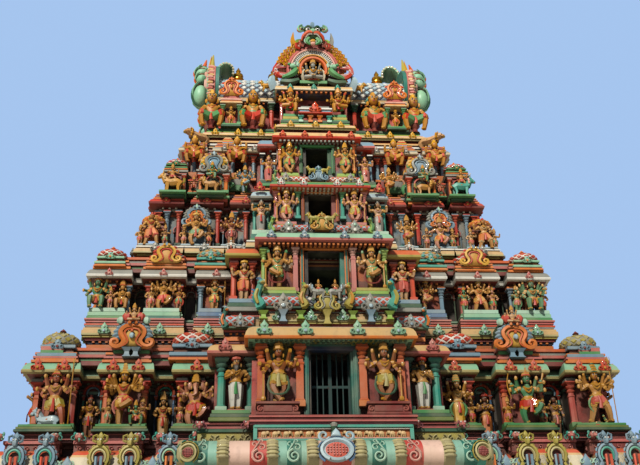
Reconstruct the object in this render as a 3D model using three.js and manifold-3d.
// A five-storey temple gateway tower: a stone ground storey with a passage, four brick and
// stucco storeys that step back, a neck and a barrel roof with finials.
// Millimetres, +Z up, +X to the right, the front faces -Y. The origin is on the ground
// under the middle of the tower.
import * as THREE from "three";
import { mergeVertices } from "three/addons/utils/BufferGeometryUtils.js";
import Module from "manifold-3d";

// Ground storey
const PASSAGE_HALF = 1600;
const PASSAGE_CEILING = 5750;
const PLINTH_TOP = 1800;
const BASE_TOP = 6850;
const BASE_LIP = 6050;
const BASE_SIDE_TOP = 6500;
const BASE_OVERHANG = 600;
const GATE_FRAME_WIDTH = 250;
const GATE_FRAME_DEPTH = 500;
const BASE_WALL = {
  halfWidth: 7000,
  halfDepth: 5000,
  recessDepth: 160,
  frontRecesses: [[3700, 4400], [5500, 6000]],
  sideRecesses: [[3900, 3200], [1400, 700]],
};
const BASE_CENTRE = { halfWidth: 3000, halfDepth: 6300 };
const BASE_CORNICE = {
  halfWidth: 7600,
  halfDepth: 5600,
  recessDepth: 450,
  frontRecesses: [[3850, 4150], [5650, 5950]],
  sideRecesses: [[4000, 3700]],
};
const BASE_CENTRE_CORNICE = { halfWidth: 3220, halfDepth: 6900 };
// The bands on the base cornice: along the sides, under the flank bays and the central frieze.
const BASE_BANDS = [[7150, 5150], [2900, 5950], [1665, 6350]];
const BAND_BEDDING = 20;

// The storeys, lowest first. Each has its floor, the top of its plain wall, the lips of its
// cornices over the side, flank and centre bays, its roof level, the opening in its centre
// bay, and the plan of its cornice at the lip.
const TIERS = [
  {
    name: "tier1", floor: 7040, wallTop: 8400, sideLip: 8500, sideTop: 8760,
    flankLip: 8640, centreLip: 8780, roof: 9080, overhang: 450, wall: 850,
    doorHalf: 470, doorTop: 8760, centreFeet: 7340, flankFeet: 7300, sill: 7130,
    flank: { halfWidth: 2750, halfDepth: 5900 }, centre: { halfWidth: 1912, halfDepth: 6500 },
    plan: {
      halfWidth: 7017, halfDepth: 5000, recessDepth: 500,
      frontRecesses: [[3609, 4022], [5316, 5697]], sideRecesses: [[3700, 3300]],
    },
    step: 7040, baseLip: 6940, proud: 0, plinth: 0, sideFeet: 7130, peopleHeight: 1280,
    guardianAt: 1150, asceticAt: 2150, peopleAt: [6250, 5500, 4680, 3800, 3030],
    shrines: [[6420, 520, 9620], [4580, 520, 9700], [3160, 440, 9560]], stepShrines: [],
  },
  {
    name: "tier2", floor: 10250, wallTop: 11140, sideLip: 11240, sideTop: 11480,
    flankLip: 11560, centreLip: 11820, roof: 12050, overhang: 400, wall: 750,
    doorHalf: 420, doorTop: 11740, centreFeet: 10570, flankFeet: 10400, sill: 10570,
    flank: { halfWidth: 2450, halfDepth: 4900 }, centre: { halfWidth: 1711, halfDepth: 5300 },
    plan: {
      halfWidth: 5922, halfDepth: 4300, recessDepth: 400,
      frontRecesses: [[3215, 3437], [4592, 4792]], sideRecesses: [[3200, 2900]],
    },
    step: 10000, baseLip: 9580, proud: 0, plinth: 250, sideFeet: 10040, peopleHeight: 1100,
    guardianAt: 1090, asceticAt: 2000, peopleAt: [5450, 4020, 2680],
    shrines: [[5400, 520, 12040], [3960, 480, 12040], [2830, 400, 11980]], stepShrines: [],
  },
  {
    name: "tier3", floor: 12500, wallTop: 13640, sideLip: 13730, sideTop: 13920,
    flankLip: 13720, centreLip: 13860, roof: 14050, overhang: 350, wall: 650,
    doorHalf: 330, doorTop: 13850, centreFeet: 13000, flankFeet: 12700, sill: 13000,
    flank: { halfWidth: 1850, halfDepth: 4000 }, centre: { halfWidth: 1332, halfDepth: 4400 },
    plan: {
      halfWidth: 4600, halfDepth: 3600, recessDepth: 320,
      frontRecesses: [[2420, 2600], [3480, 3660]], sideRecesses: [[2600, 2380]],
    },
    step: 12250, baseLip: 12070, proud: 320, plinth: 250, sideFeet: 12290, peopleHeight: 980,
    guardianAt: 920, asceticAt: 1520, peopleAt: [4460, 3300, 2340],
    shrines: [[3930, 500, 15200], [2890, 500, 15400]],
    stepShrines: [[4470, 480, 13380], [3300, 460, 13480]],
  },
  {
    name: "tier4", floor: 14450, wallTop: 15740, sideLip: 15820, sideTop: 16000,
    flankLip: 15820, centreLip: 15935, roof: 16150, overhang: 330, wall: 600,
    doorHalf: 330, doorTop: 15810, centreFeet: 14960, flankFeet: 14600, sill: 14960,
    flank: { halfWidth: 1680, halfDepth: 3300 }, centre: { halfWidth: 1259, halfDepth: 3600 },
    plan: {
      halfWidth: 3940, halfDepth: 3000, recessDepth: 260,
      frontRecesses: [[2150, 2300], [2980, 3130]], sideRecesses: [[2100, 1920]],
    },
    step: 14450, baseLip: 14250, proud: 0, plinth: 0, sideFeet: 14950, peopleHeight: 780,
    guardianAt: 770, asceticAt: 1340, peopleAt: [3490, 2270],
    shrines: [[3440, 190, 16380], [2560, 190, 16380]], stepShrines: [],
  },
];

// Neck and roof
const NECK = {
  floor: 16900, wallTop: 18100, halfWidth: 2700, halfDepth: 1750, wall: 450,
  centre: { halfWidth: 850, halfDepth: 2350 }, windowHalf: 150, windowSill: 17550, windowTop: 17980,
};
const NECK_LEDGE = { halfWidth: 3330, halfDepth: 2650 };
const NECK_CENTRE_LEDGE = { halfWidth: 1150, halfDepth: 3150 };
const EAVE = { halfWidth: 3150, halfDepth: 2150, lip: 18180, top: 18320, overhang: 250 };
const EAVE_CENTRE = { halfWidth: 1167, halfDepth: 2800 };
const RIDGE = 19880;
const RIDGE_HALF = 260;
const VAULT_WALL = 420;
const VAULT_HALF_LENGTH = 2700;
const ROOF_END_OUTER = 3300;
const FINIAL_HEIGHT = 1040;
const FINIAL_SPACING = 1190;
const FINIAL_COUNT = 5;
const NASI_TOP = 20900;
const NASI_HALF = 1210;
const FIT_GAP = 0.4;
const VAULT_HALF_DEPTH = 2080;
const VAULT_STEPS = 8;
const VAULT_FOOT = 0.94;
const VAULT_BELLY = 1.12;
const VAULT_SHOULDER = 0.62;
const CURVE_STEPS = 6;
const EAR_TOP = 21260;
const EAR_HALF_THICKNESS = 350;
const NASI_FOOT_HALF = 1020;
const NASI_THICKNESS = 420;
const NICHE_HALF = 300;
const NICHE_FLOOR = 18640;
const NICHE_DEPTH = 260;
const NICHE_SPRING = 450;

// Ledges, figures and the gate in the lowest doorway
const LEDGE_HEIGHT = 90;
const LEDGE_IN_RECESS = 0.6;
const FIGURE_GAP = 2;
const FIGURE_BEDDING = 5;
const GUARD_REACH = 500;
const BLOCK_BEDDING = 50;
const BLOCK_MARGIN = 20;
const BLOCK_FROM_DOOR = 100;
const FIGURE_SHOULDER = 0.17;
const FIGURE_PROFILE = [[0, 0], [0.12, 0], [FIGURE_SHOULDER, 0.68], [0.09, 0.84], [0, 1]];
const FIGURE_SIDES = 5;
const SHRINE_SIDES = 6;
const GABLE_STEPS = 4;
const CORNICE_BED = 60;
const CORNICE_SHOULDER = 0.4;
const HEAD_ROOM = 30;
const NECK_FIGURES = [[650, 2700, 0.8], [1300, 2150, 0.9], [1950, 2150, 1.3], [2800, 2150, 1.3]];
const GRILLE_RAIL = 60;
const GRILLE_MULLION = 80;
const GRILLE_BAR = 26;
const GRILLE_GAPS = 3;
const GRILLE_THICKNESS = 50;
const GRILLE_SET_BACK = 350;
const PODIUM_FOOT_INSET = 120;
const PODIUM_THROAT_INSET = 200;
const PODIUM_SIDE = 60;
const PODIUM_CORBEL = 260;
const PODIUM_BED = 40;
const PODIUM_TOP_INSET = 60;
const NECK_FOOT_INSET = 120;
const NECK_LEDGE_INSET = 160;
const NECK_STRIP_INSET = 170;
const FLANK_CORNICE_RISE = 240;
const SHRINE_SEAT = 100;
const SHRINE_CLEARANCE = 15;
const DOME_RISE = 0.9;
const STEP_PLATE = 40;
const CUT_PAST = 10;
const SIDES = [1, -1];

// A bay's side edges move in by this share of what its front edge moves in.
const LATERAL = 0.35;
const FACES_FRONT_AND_BACK = [["front", 1], ["back", -1]];

const wasm = await Module();
wasm.setup();

// Mesh tools

function solidOf(geometry) {
  const bare = geometry.clone();
  bare.deleteAttribute("normal");
  bare.deleteAttribute("uv");
  const merged = mergeVertices(bare, 1e-3);
  return new wasm.Manifold(new wasm.Mesh({
    numProp: 3,
    vertProperties: merged.attributes.position.array,
    triVerts: new Uint32Array(merged.index.array),
  }));
}

function geometryOf(solid) {
  const mesh = solid.getMesh();
  const positions = new Float32Array(mesh.numVert * 3);
  for (let i = 0; i < mesh.numVert; i++) {
    positions.set(mesh.vertProperties.subarray(i * mesh.numProp, i * mesh.numProp + 3), i * 3);
  }
  const geometry = new THREE.BufferGeometry();
  geometry.setAttribute("position", new THREE.BufferAttribute(positions, 3));
  geometry.setIndex(new THREE.BufferAttribute(mesh.triVerts, 1));
  geometry.computeVertexNormals();
  return geometry;
}

const join = (solids) => solids.reduce((whole, piece) => whole.add(piece));

// A solid through rings of equally many points, each ring flat at its own height.
function loft(rings) {
  const count = rings[0].points.length;
  const positions = rings.flatMap((ring) => ring.points.flatMap(([x, y]) => [x, y, ring.z]));
  const index = [];
  for (let r = 0; r + 1 < rings.length; r++) {
    for (let i = 0; i < count; i++) {
      const a = r * count + i;
      const b = r * count + ((i + 1) % count);
      index.push(a, b, b + count, a, b + count, a + count);
    }
  }
  const cap = (ring, base, up) => {
    const contour = ring.points.map(([x, y]) => new THREE.Vector2(x, y));
    for (const [a, b, c] of THREE.ShapeUtils.triangulateShape(contour, [])) {
      index.push(...(up ? [a, b, c] : [a, c, b]).map((v) => v + base));
    }
  };
  cap(rings[0], 0, false);
  cap(rings.at(-1), (rings.length - 1) * count, true);
  const geometry = new THREE.BufferGeometry();
  geometry.setAttribute("position", new THREE.Float32BufferAttribute(positions, 3));
  geometry.setIndex(index);
  return solidOf(geometry);
}

const prism = (points, low, high) => loft([{ points, z: low }, { points, z: high }]);

function block([x0, x1], [y0, y1], [z0, z1]) {
  const geometry = new THREE.BoxGeometry(x1 - x0, y1 - y0, z1 - z0);
  geometry.translate((x0 + x1) / 2, (y0 + y1) / 2, (z0 + z1) / 2);
  return solidOf(geometry);
}

// A turned shape about a vertical axis, from a profile of [radius, height] points.
function turned(profile, x, y, z, sides) {
  const points = profile.map(([radius, height]) => new THREE.Vector2(radius, height));
  const geometry = new THREE.LatheGeometry(points, sides);
  geometry.rotateX(Math.PI / 2);
  geometry.translate(x, y, z);
  return solidOf(geometry);
}

// A closed outline from its start and its steps: two numbers make a line, six a curve.
function traced([start, ...steps]) {
  const outline = new THREE.Shape();
  outline.moveTo(...start);
  for (const step of steps) {
    if (step.length === 2) {
      outline.lineTo(...step);
    } else {
      outline.bezierCurveTo(...step);
    }
  }
  return outline;
}

// A closed outline from its right half, whose steps run up from the foot to the middle.
function tracedBothWays([start, ...steps]) {
  const ends = [start, ...steps.map((step) => step.slice(-2))];
  const back = steps.map((step, i) => {
    const [x, z] = ends[i];
    const bends = step.length === 2 ? [] : [-step[2], step[3], -step[0], step[1]];
    return [...bends, -x, z];
  }).reverse();
  const [x, z] = ends.at(-1);
  const across = x > 0 ? [[-x, z]] : [];
  return traced([start, ...steps, ...across, ...back]);
}

// A flat outline in the plane of X and Z, standing between two values of Y.
function plateAcross(shape, yFront, yBack, curveSegments) {
  const geometry = new THREE.ExtrudeGeometry(shape, {
    depth: yBack - yFront, bevelEnabled: false, curveSegments,
  });
  geometry.rotateX(Math.PI / 2);
  geometry.translate(0, yBack, 0);
  return solidOf(geometry);
}

// Plans

// The front right quarter of a plan, from the centre line round to the side.
function quarter(plan, inset) {
  const side = plan.halfWidth - inset;
  const front = plan.halfDepth - inset;
  const slack = inset * LATERAL;
  const depth = plan.recessDepth;
  const points = [];
  for (const [from, to] of plan.frontRecesses ?? []) {
    points.push([from - slack, -front], [from - slack, depth - front]);
    points.push([to + slack, depth - front], [to + slack, -front]);
  }
  points.push([side, -front]);
  for (const [from, to] of plan.sideRecesses ?? []) {
    points.push([side, -from - slack], [side - depth, -from - slack]);
    points.push([side - depth, slack - to], [side, slack - to]);
  }
  return points;
}

// The full plan from its front right quarter.
function mirrored(points) {
  const reversed = points.toReversed();
  return [
    ...points,
    ...reversed.map(([x, y]) => [x, -y]),
    ...points.map(([x, y]) => [-x, -y]),
    ...reversed.map(([x, y]) => [-x, y]),
  ];
}

const whole = (plan, inset = 0) => mirrored(quarter(plan, inset));

// A storey's plan with its flank and centre bays in front, as one quarter.
function bayQuarter(plan, flank, centre, inset) {
  const slack = inset * LATERAL;
  return [
    [centre.halfWidth - slack, inset - centre.halfDepth],
    [centre.halfWidth - slack, inset - flank.halfDepth],
    [flank.halfWidth - slack, inset - flank.halfDepth],
    [flank.halfWidth - slack, inset - plan.halfDepth],
    ...quarter(plan, inset),
  ];
}

// One half of a hollow storey in plan: the wall right of the doorways, round the room.
function halfWallPlan(outerQuarter, doorHalf, roomX, roomY, side) {
  const [, frontY] = outerQuarter[0];
  const points = [
    [doorHalf, frontY],
    ...outerQuarter,
    ...outerQuarter.toReversed().map(([x, y]) => [x, -y]),
    [doorHalf, -frontY],
    [doorHalf, roomY],
    [roomX, roomY],
    [roomX, -roomY],
    [doorHalf, -roomY],
  ];
  return side > 0 ? points : points.toReversed().map(([x, y]) => [-x, y]);
}

// A roll cornice over a wall: the bed, the lip and a curved back up to its top.
function cornice(plan, overhang, wallTop, lip, top) {
  const rise = top - lip;
  return loft([
    { points: whole(plan, overhang), z: wallTop },
    { points: whole(plan, overhang), z: lip - CORNICE_BED },
    { points: whole(plan, 0), z: lip },
    { points: whole(plan, overhang * 0.08), z: lip + rise * 0.6 },
    { points: whole(plan, overhang * CORNICE_SHOULDER), z: top },
  ]);
}

const room = (tier) => ({
  x: tier.plan.halfWidth - tier.overhang - tier.plan.recessDepth - tier.wall,
  y: tier.plan.halfDepth - tier.overhang - tier.plan.recessDepth - tier.wall,
});

// Figures and small shrines

// A standing figure with a skirt, shoulders and a tall crown, turned from few faces.
function figure(x, y, z, height, girth) {
  const profile = FIGURE_PROFILE.map(([radius, rise]) => [radius * height * girth, rise * height]);
  return turned(profile, x, y, z, FIGURE_SIDES);
}

// A small square shrine with a dome and a knob, as on the corners.
function domedShrine(x, y, z, width, top) {
  const half = width / 2;
  const eave = top - width * DOME_RISE;
  const body = block([x - half, x + half], [y - half, y + half], [z, eave]);
  const dome = turned([
    [0, -1], [half * 0.9, -1], [half * 0.98, width * 0.25], [half * 0.5, width * 0.62],
    [0, width * DOME_RISE],
  ], x, y, eave, SHRINE_SIDES);
  return body.add(dome);
}

// A small shrine with a horseshoe gable that faces the front or the back.
function gabledShrine(x, y, z, width, top) {
  const half = width * 0.8;
  const outline = new THREE.Shape();
  outline.moveTo(-half, 0);
  outline.lineTo(half, 0);
  outline.absarc(0, top - z - half, half, 0, Math.PI, false);
  const geometry = new THREE.ExtrudeGeometry(outline, {
    depth: width, bevelEnabled: false, curveSegments: GABLE_STEPS,
  });
  geometry.rotateX(Math.PI / 2);
  geometry.translate(x, y + width / 2, z);
  return solidOf(geometry);
}

// The corner shrine of a row has a dome, and the others have gables.
const shrine = (place, spot, width, top) =>
  (place === 0 ? domedShrine(...spot, width, top) : gabledShrine(...spot, width, top));

// Ground storey

const baseQuarter = (inset, passage) => [
  [BASE_CENTRE.halfWidth - inset * LATERAL, inset - BASE_CENTRE.halfDepth],
  [BASE_CENTRE.halfWidth - inset * LATERAL, inset - BASE_WALL.halfDepth],
  ...quarter({ ...BASE_WALL, ...passage }, inset),
];

function basePierPlan(inset, side, plain) {
  const bays = plain ? { frontRecesses: [], sideRecesses: [] } : {};
  const front = baseQuarter(inset, bays);
  const points = [
    [PASSAGE_HALF, front[0][1]],
    ...front,
    ...front.toReversed().map(([x, y]) => [x, -y]),
    [PASSAGE_HALF, -front[0][1]],
  ];
  return side > 0 ? points : points.toReversed().map(([x, y]) => [-x, y]);
}

// Height and projection of each course of the moulded plinth, from the ground up.
const PLINTH_COURSES = [
  [0, 520], [300, 520], [360, 440], [800, 400], [900, 470], [1080, 520],
  [1260, 470], [1300, 260], [1520, 260], [1560, 400], [PLINTH_TOP, 360],
];

function basePlinth(side) {
  return loft(PLINTH_COURSES.map(([z, projection]) => ({
    points: basePierPlan(-projection, side, true), z,
  })));
}

const baseWall = (side) => prism(basePierPlan(0, side, false), PLINTH_TOP, PASSAGE_CEILING);

function gatewayFrame(facing) {
  const outer = PASSAGE_HALF;
  const inner = outer - GATE_FRAME_WIDTH;
  const head = PASSAGE_CEILING - GATE_FRAME_WIDTH;
  const outline = new THREE.Shape([
    [-outer, 0], [-inner, 0], [-inner, head], [inner, head],
    [inner, 0], [outer, 0], [outer, PASSAGE_CEILING], [-outer, PASSAGE_CEILING],
  ].map(([x, z]) => new THREE.Vector2(x, z)));
  const near = BASE_CENTRE.halfDepth - GATE_FRAME_DEPTH;
  const [low, high] = facing > 0
    ? [-BASE_CENTRE.halfDepth, -near]
    : [near, BASE_CENTRE.halfDepth];
  return plateAcross(outline, low, high, 1);
}

function baseCornice() {
  const sides = cornice(BASE_CORNICE, BASE_OVERHANG, PASSAGE_CEILING, BASE_LIP, BASE_SIDE_TOP);
  const middle = cornice(BASE_CENTRE_CORNICE, BASE_OVERHANG, PASSAGE_CEILING, BASE_LIP, BASE_SIDE_TOP);
  const bands = BASE_BANDS.map(([halfWidth, halfDepth]) => block(
    [-halfWidth, halfWidth], [-halfDepth, halfDepth], [BASE_SIDE_TOP - BAND_BEDDING, BASE_TOP],
  ));
  return join([sides, middle, ...bands]);
}

// Storeys

// The plan of the moulded base that a storey's wall and figures stand on. Its side bays
// stand proud of the storey by their own amount.
function podiumQuarter(tier, inset, proud = 0) {
  const side = {
    halfWidth: tier.plan.halfWidth - PODIUM_SIDE + proud,
    halfDepth: tier.plan.halfDepth + PODIUM_SIDE + proud,
  };
  const flank = { halfWidth: tier.flank.halfWidth, halfDepth: tier.flank.halfDepth + PODIUM_BED };
  const centre = {
    halfWidth: tier.centre.halfWidth - PODIUM_FOOT_INSET, halfDepth: tier.centre.halfDepth,
  };
  return bayQuarter(side, flank, centre, inset);
}

// A base from the roof below: foot, throat, a projecting cornice, the step that figures
// stand on, and the plinth behind them up to the floor.
function podium(tier, low) {
  const { baseLip, step, proud, plinth, floor } = tier;
  const corbel = baseLip - PODIUM_CORBEL;
  const throat = corbel > low
    ? [[corbel, PODIUM_FOOT_INSET, 0], [corbel, PODIUM_THROAT_INSET, 0],
      [baseLip - PODIUM_BED, PODIUM_THROAT_INSET, 0]]
    : [];
  const above = plinth > 0 ? [[step, 0, -plinth], [floor, 0, -plinth]] : [];
  const courses = [
    [low, PODIUM_FOOT_INSET, 0], ...throat, [baseLip, 0, proud], [(baseLip + step) / 2, 0, proud],
    [step, plinth > 0 ? PODIUM_TOP_INSET : 0, proud], ...above,
  ];
  return loft(courses.map(([z, inset, out]) => ({ points: mirrored(podiumQuarter(tier, inset, out)), z })));
}

function tierWall(tier, side) {
  const outer = bayQuarter(tier.plan, tier.flank, tier.centre, tier.overhang);
  const { x, y } = room(tier);
  return prism(halfWallPlan(outer, tier.doorHalf, x, y, side), tier.floor, tier.wallTop);
}

// The footprint of what stands on a storey's roof: the next podium, or the neck's.
function footprintAbove(tier) {
  const above = TIERS[TIERS.indexOf(tier) + 1];
  return above ? podiumQuarter(above, PODIUM_FOOT_INSET) : neckQuarter(NECK_FOOT_INSET);
}

function tierCornice(tier) {
  const { x, y } = room(tier);
  const footprint = footprintAbove(tier);
  const [, standingDepth] = footprint.at(-1);
  const roofs = [
    cornice(tier.plan, tier.overhang, tier.wallTop, tier.sideLip, tier.sideTop),
    cornice(tier.flank, tier.overhang, tier.wallTop, tier.flankLip, tier.flankLip + FLANK_CORNICE_RISE),
    cornice(tier.centre, tier.overhang, tier.wallTop, tier.centreLip, tier.roof),
    prism(mirrored(footprint), tier.sideTop - SHRINE_SEAT, tier.roof),
  ];
  const low = tier.wallTop - 1;
  const reach = tier.centre.halfDepth + CUT_PAST;
  const hall = block([-x, x], [-y, y], [low, tier.doorTop]);
  const doorway = block([-tier.doorHalf, tier.doorHalf], [-reach, reach], [low, tier.doorTop]);
  const shrines = FACES_FRONT_AND_BACK.flatMap(([, facing]) => SIDES.flatMap((side) =>
    tier.shrines.map(([at, width, top], place) => {
      const stand = PODIUM_FOOT_INSET - standingDepth + SHRINE_CLEARANCE + width / 2;
      return shrine(place, [side * at, -facing * stand, tier.sideTop - SHRINE_SEAT], width, top);
    })));
  return join(roofs).subtract(hall).subtract(doorway).add(join(shrines));
}

// A span between two values on one side of the tower, lowest first.
const span = (side, from, to) => [side * from, side * to].sort((a, b) => a - b);

// The ledges that a storey's figures stand on, along its front or its back.
function figureLedge(tier, facing) {
  const { floor, step, plinth, proud, overhang } = tier;
  const ledgeTop = floor + LEDGE_HEIGHT;
  const wallLine = tier.plan.halfDepth - overhang - tier.plan.recessDepth * LEDGE_IN_RECESS;
  const reach = tier.plan.halfWidth + proud;
  const half = block(
    [-reach, reach], span(-facing, wallLine, tier.centre.halfDepth + GUARD_REACH),
    [step, tier.sideFeet + tier.centreFeet],
  );
  const pieces = [
    prism(mirrored(podiumQuarter(tier, 0, plinth > 0 ? STEP_PLATE - plinth : 0)), step, ledgeTop),
  ];
  if (plinth > 0) {
    pieces.push(prism(mirrored(podiumQuarter(tier, PODIUM_TOP_INSET, proud)), step, step + STEP_PLATE));
  }
  const raise = (bay, from, to, top) => SIDES.forEach((side) => {
    const depth = span(-facing, bay.halfDepth - overhang - BLOCK_BEDDING, bay.halfDepth - BLOCK_MARGIN);
    pieces.push(block(span(side, from, to), depth, [floor, top]));
  });
  const { centre, flank, plan } = tier;
  raise(centre, tier.doorHalf + BLOCK_FROM_DOOR, centre.halfWidth - BLOCK_MARGIN * 10, tier.centreFeet);
  raise(flank, centre.halfWidth - BLOCK_FROM_DOOR, flank.halfWidth - BLOCK_FROM_DOOR, tier.flankFeet);
  raise(centre, 0, tier.doorHalf + BLOCK_FROM_DOOR + CUT_PAST, tier.sill);
  if (tier.sideFeet > ledgeTop) {
    raise(plan, flank.halfWidth + BLOCK_FROM_DOOR, plan.halfWidth - overhang, tier.sideFeet);
  }
  return join(pieces).intersect(half);
}

// A row of figures and small shrines on their ledges, along the front or the back.
function figureRow(tier, facing) {
  const pieces = [figureLedge(tier, facing)];
  const stand = (at, wallFace, feet, height, girth) => {
    const depth = wallFace + FIGURE_GAP + height * FIGURE_SHOULDER * girth;
    for (const side of SIDES) {
      pieces.push(figure(side * at, -facing * depth, feet - FIGURE_BEDDING, height, girth));
    }
  };
  const under = (lip, feet) => lip - CORNICE_BED - HEAD_ROOM - feet;
  const { centre, flank, plan, overhang } = tier;
  stand(tier.guardianAt, centre.halfDepth - overhang, tier.centreFeet,
    under(tier.centreLip, tier.centreFeet), 1);
  stand(tier.asceticAt, flank.halfDepth - overhang, tier.flankFeet,
    under(tier.flankLip, tier.flankFeet), 0.9);
  const height = Math.min(tier.peopleHeight, under(tier.sideLip, tier.sideFeet));
  const wallFace = plan.halfDepth - overhang;
  tier.peopleAt.forEach((at) => stand(at, wallFace + tier.proud, tier.sideFeet, height, 1));
  for (const side of SIDES) {
    tier.stepShrines.forEach(([at, width, top], place) => {
      const depth = wallFace + width / 2;
      pieces.push(shrine(place, [side * at, -facing * depth, tier.sideFeet - FIGURE_BEDDING], width, top));
    });
  }
  const wallPlan = mirrored(bayQuarter(plan, flank, centre, overhang - FIGURE_GAP));
  const row = join(pieces).subtract(prism(wallPlan, tier.floor, tier.wallTop));
  return tier.plinth > 0
    ? row.subtract(prism(mirrored(podiumQuarter(tier, 0, -tier.plinth)), tier.step, tier.floor))
    : row;
}

// A two-leaved barred gate that closes a doorway.
function grille(tier, facing) {
  const { doorHalf: half, floor, doorTop } = tier;
  const face = tier.centre.halfDepth - tier.overhang - GRILLE_SET_BACK;
  const depth = span(-facing, face - GRILLE_THICKNESS, face);
  const through = [depth[0] - CUT_PAST, depth[1] + CUT_PAST];
  const middle = (floor + doorTop) / 2;
  const rows = [
    [floor + GRILLE_RAIL, middle - GRILLE_RAIL / 2],
    [middle + GRILLE_RAIL / 2, doorTop - GRILLE_RAIL],
  ];
  const leaf = half - GRILLE_RAIL - GRILLE_MULLION / 2;
  const gap = (leaf - GRILLE_BAR * (GRILLE_GAPS - 1)) / GRILLE_GAPS;
  const gaps = SIDES.flatMap((side) => rows.flatMap((row) =>
    Array.from({ length: GRILLE_GAPS }, (_, i) => {
      const near = GRILLE_MULLION / 2 + i * (gap + GRILLE_BAR);
      return block(span(side, near, near + gap), through, row);
    })));
  return block([-half, half], depth, [floor, doorTop]).subtract(join(gaps));
}

// Neck and roof

function neckQuarter(inset) {
  return [
    [NECK_CENTRE_LEDGE.halfWidth - inset, inset - NECK_CENTRE_LEDGE.halfDepth],
    [NECK_CENTRE_LEDGE.halfWidth - inset, inset - NECK_LEDGE.halfDepth],
    [NECK_LEDGE.halfWidth - inset, inset - NECK_LEDGE.halfDepth],
  ];
}

// Height above the roof below and inset of each course of the neck's base.
const NECK_COURSES = [
  [0, NECK_FOOT_INSET], [180, NECK_FOOT_INSET], [230, PODIUM_THROAT_INSET],
  [400, PODIUM_THROAT_INSET], [440, 0], [520, 0], [560, NECK_LEDGE_INSET],
];

function neckPodium() {
  const low = TIERS.at(-1).roof;
  const courses = [...NECK_COURSES, [NECK.floor - low, NECK_LEDGE_INSET]];
  return loft(courses.map(([rise, inset]) => ({ points: mirrored(neckQuarter(inset)), z: low + rise })));
}

function neckWalls() {
  const outer = mirrored([
    [NECK.centre.halfWidth, -NECK.centre.halfDepth],
    [NECK.centre.halfWidth, -NECK.halfDepth],
    [NECK.halfWidth, -NECK.halfDepth],
  ]);
  const x = NECK.halfWidth - NECK.wall;
  const y = NECK.halfDepth - NECK.wall;
  const reach = NECK.centre.halfDepth + CUT_PAST;
  const { windowHalf, windowSill, windowTop } = NECK;
  return prism(outer, NECK.floor, NECK.wallTop)
    .subtract(block([-x, x], [-y, y], [NECK.floor - CUT_PAST, NECK.wallTop + CUT_PAST]))
    .subtract(block([-windowHalf, windowHalf], [-reach, reach], [windowSill, windowTop]));
}

// The figures on the neck's ledge, on one long side.
function neckFigureRow(facing) {
  const ledgeTop = NECK.floor + LEDGE_HEIGHT;
  const strip = (ledge, wallFace) => block(
    [NECK_STRIP_INSET - ledge.halfWidth, ledge.halfWidth - NECK_STRIP_INSET],
    span(-facing, wallFace + FIGURE_GAP, ledge.halfDepth - NECK_STRIP_INSET), [NECK.floor, ledgeTop],
  );
  const pieces = [
    strip(NECK_LEDGE, NECK.halfDepth), strip(NECK_CENTRE_LEDGE, NECK.centre.halfDepth),
  ];
  const clear = NECK.wallTop - HEAD_ROOM - ledgeTop;
  for (const side of SIDES) {
    for (const [at, depth, girth] of NECK_FIGURES) {
      pieces.push(figure(side * at, -facing * depth, ledgeTop - FIGURE_BEDDING, clear, girth));
    }
  }
  const centreWall = block(
    [-NECK.centre.halfWidth - FIGURE_GAP, NECK.centre.halfWidth + FIGURE_GAP],
    [-NECK.centre.halfDepth - FIGURE_GAP, NECK.centre.halfDepth + FIGURE_GAP],
    [NECK.floor - CUT_PAST, NECK.wallTop + CUT_PAST],
  );
  return join(pieces).subtract(centreWall);
}

const alongRoof = new THREE.Matrix4().makeBasis(
  new THREE.Vector3(0, 1, 0), new THREE.Vector3(0, 0, 1), new THREE.Vector3(1, 0, 0),
);

// An outline in the plane of Y and Z, carried along X.
function carriedAlong(outline, from, to, curveSegments) {
  const geometry = new THREE.ExtrudeGeometry(outline, {
    depth: to - from, bevelEnabled: false, curveSegments,
  });
  geometry.applyMatrix4(alongRoof);
  geometry.translate(from, 0, 0);
  return solidOf(geometry);
}

// The barrel's section: upright feet, a full belly and a flat ridge.
function vaultOutline(halfDepth, ridgeHalf, foot, ridge) {
  const rise = ridge - foot;
  return tracedBothWays([
    [halfDepth * VAULT_FOOT, foot],
    [halfDepth * VAULT_BELLY, foot + rise * 0.45, halfDepth * VAULT_SHOULDER, ridge - rise * 0.08,
      ridgeHalf, ridge],
  ]);
}

function barrelRoof() {
  const eaves = [EAVE, { ...EAVE, ...EAVE_CENTRE }].map((plan) =>
    cornice(plan, EAVE.overhang, NECK.wallTop, EAVE.lip, EAVE.top));
  const vault = carriedAlong(
    vaultOutline(VAULT_HALF_DEPTH, RIDGE_HALF, EAVE.top - CUT_PAST, RIDGE),
    -VAULT_HALF_LENGTH, VAULT_HALF_LENGTH, VAULT_STEPS,
  );
  const inside = VAULT_HALF_DEPTH - VAULT_WALL;
  const hollow = carriedAlong(
    vaultOutline(inside, RIDGE_HALF * 0.6, NECK.wallTop - CUT_PAST, RIDGE - VAULT_WALL),
    VAULT_WALL - VAULT_HALF_LENGTH, VAULT_HALF_LENGTH - VAULT_WALL, VAULT_STEPS,
  );
  const neckRoomY = NECK.halfDepth - NECK.wall;
  const withinWalls = block([-RIDGE, RIDGE], [-neckRoomY, neckRoomY], [0, 2 * RIDGE]);
  return join([...eaves, vault]).subtract(hollow.intersect(withinWalls));
}

// The right half of the gable at each end of the barrel, in Y and Z.
const GABLE_OUTLINE = [
  [1750, EAVE.top], [2500, 19000, 2150, 19800, 1150, 20050], [700, 20150, 350, 20250, 0, 20750],
];
// The tall curled ear above the right gable, in X and Z.
const EAR_OUTLINE = [
  [3000, 18900], [3500, 18450], [3850, 18500, 4000, 18900, 3900, 19250],
  [3750, 19700, 3900, 20300, 3433, EAR_TOP], [3300, 20900, 3050, 20700, 3000, 20100],
];

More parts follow.
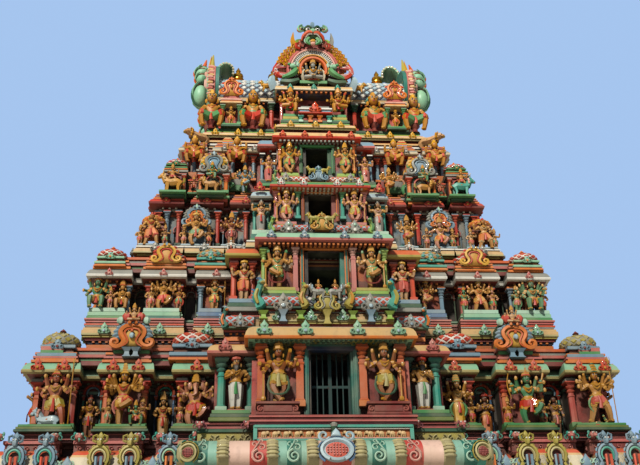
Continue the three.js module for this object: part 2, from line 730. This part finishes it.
function roofEnd(side) {
  const right = carriedAlong(
    tracedBothWays(GABLE_OUTLINE), VAULT_HALF_LENGTH, ROOF_END_OUTER, CURVE_STEPS,
  ).add(plateAcross(traced(EAR_OUTLINE), -EAR_HALF_THICKNESS, EAR_HALF_THICKNESS, CURVE_STEPS));
  return side > 0 ? right : right.mirror([1, 0, 0]);
}

// The right halves of the great gable over the middle of the eave and of its saddle.
const NASI_OUTLINE = [
  [NASI_FOOT_HALF, EAVE.top], [1330, 18700, NASI_HALF * 1.06, 19500, 760, 19900],
  [700, 20250, 420, 20300, 380, 20500], [230, NASI_TOP],
];
const SADDLE_OUTLINE = [[850, EAVE.top], [1000, 19300, 600, 19700, 0, 19800]];
const SADDLE_BACK = 1000;

// The great horseshoe gable over the centre of the eave, with its saddle into the barrel.
function nasi(facing) {
  const front = EAVE_CENTRE.halfDepth - EAVE.overhang;
  const back = front - NASI_THICKNESS;
  const niche = new THREE.Shape();
  niche.moveTo(-NICHE_HALF, NICHE_FLOOR);
  niche.lineTo(NICHE_HALF, NICHE_FLOOR);
  niche.absarc(0, NICHE_FLOOR + NICHE_SPRING, NICHE_HALF, 0, Math.PI, false);
  const grownVault = carriedAlong(
    vaultOutline(
      VAULT_HALF_DEPTH + FIT_GAP, RIDGE_HALF + FIT_GAP, EAVE.top - CUT_PAST, RIDGE + FIT_GAP,
    ),
    -VAULT_HALF_LENGTH, VAULT_HALF_LENGTH, VAULT_STEPS,
  );
  const built = plateAcross(tracedBothWays(NASI_OUTLINE), -front, -back, CURVE_STEPS)
    .add(plateAcross(tracedBothWays(SADDLE_OUTLINE), -back - 1, -SADDLE_BACK, CURVE_STEPS))
    .subtract(plateAcross(niche, -front - CUT_PAST, NICHE_DEPTH - front, CURVE_STEPS))
    .subtract(grownVault);
  return facing > 0 ? built : built.mirror([0, 1, 0]);
}

const FINIAL_PROFILE = [
  [0, 0], [0.19, 0], [0.21, 0.06], [0.1, 0.14], [0.25, 0.3], [0.25, 0.42], [0.1, 0.56],
  [0.17, 0.66], [0.06, 0.74], [0, 1],
];

const finial = (place) => turned(
  FINIAL_PROFILE.map(([radius, height]) => [radius * FINIAL_HEIGHT, height * FINIAL_HEIGHT]),
  FINIAL_SPACING * (place - (FINIAL_COUNT - 1) / 2), 0, RIDGE, 8,
);

// Materials

const finish = (color, roughness, metalness = 0) => ({ color, roughness, metalness });
const STONE = finish(0x9a8f83, 0.85);
const LEDGE_GREEN = finish(0x4f8f72, 0.7);
const WALL_RED = finish(0xa24634, 0.7);
const CORNICE_MINT = finish(0x8fc0a0, 0.65);
const FIGURE_GOLD = finish(0xc8883c, 0.6);
const GRILLE_GREEN = finish(0x14302c, 0.6);
const ROOF_BLUE = finish(0x8fa9b5, 0.6);
const BRASS = finish(0xc79a3a, 0.35, 1);

const tower = new THREE.Group();

function place(name, solid, look) {
  const mesh = new THREE.Mesh(geometryOf(solid), new THREE.MeshStandardMaterial(look));
  mesh.name = name;
  tower.add(mesh);
}

for (const [word, side] of [["left", -1], ["right", 1]]) {
  place(`base_plinth_${word}`, basePlinth(side), STONE);
  place(`base_wall_${word}`, baseWall(side), STONE);
  place(`roof_end_${word}`, roofEnd(side), CORNICE_MINT);
}
place("base_cornice", baseCornice(), CORNICE_MINT);
for (const [word, facing] of FACES_FRONT_AND_BACK) {
  place(`gateway_frame_${word}`, gatewayFrame(facing), STONE);
  place(`tier1_grille_${word}`, grille(TIERS[0], facing), GRILLE_GREEN);
  place(`neck_figures_${word}`, neckFigureRow(facing), FIGURE_GOLD);
  place(`${word}_nasi`, nasi(facing), CORNICE_MINT);
}
TIERS.forEach((tier, level) => {
  const below = level ? TIERS[level - 1].roof : BASE_TOP;
  place(`${tier.name}_podium`, podium(tier, below), LEDGE_GREEN);
  place(`${tier.name}_wall_left`, tierWall(tier, -1), WALL_RED);
  place(`${tier.name}_wall_right`, tierWall(tier, 1), WALL_RED);
  place(`${tier.name}_cornice`, tierCornice(tier), CORNICE_MINT);
  for (const [word, facing] of FACES_FRONT_AND_BACK) {
    place(`${tier.name}_figures_${word}`, figureRow(tier, facing), FIGURE_GOLD);
  }
});
place("neck_podium", neckPodium(), LEDGE_GREEN);
place("neck_walls", neckWalls(), WALL_RED);
place("barrel_roof", barrelRoof(), ROOF_BLUE);
for (let i = 0; i < FINIAL_COUNT; i++) {
  place(`finial_${i + 1}`, finial(i), BRASS);
}

export default tower;
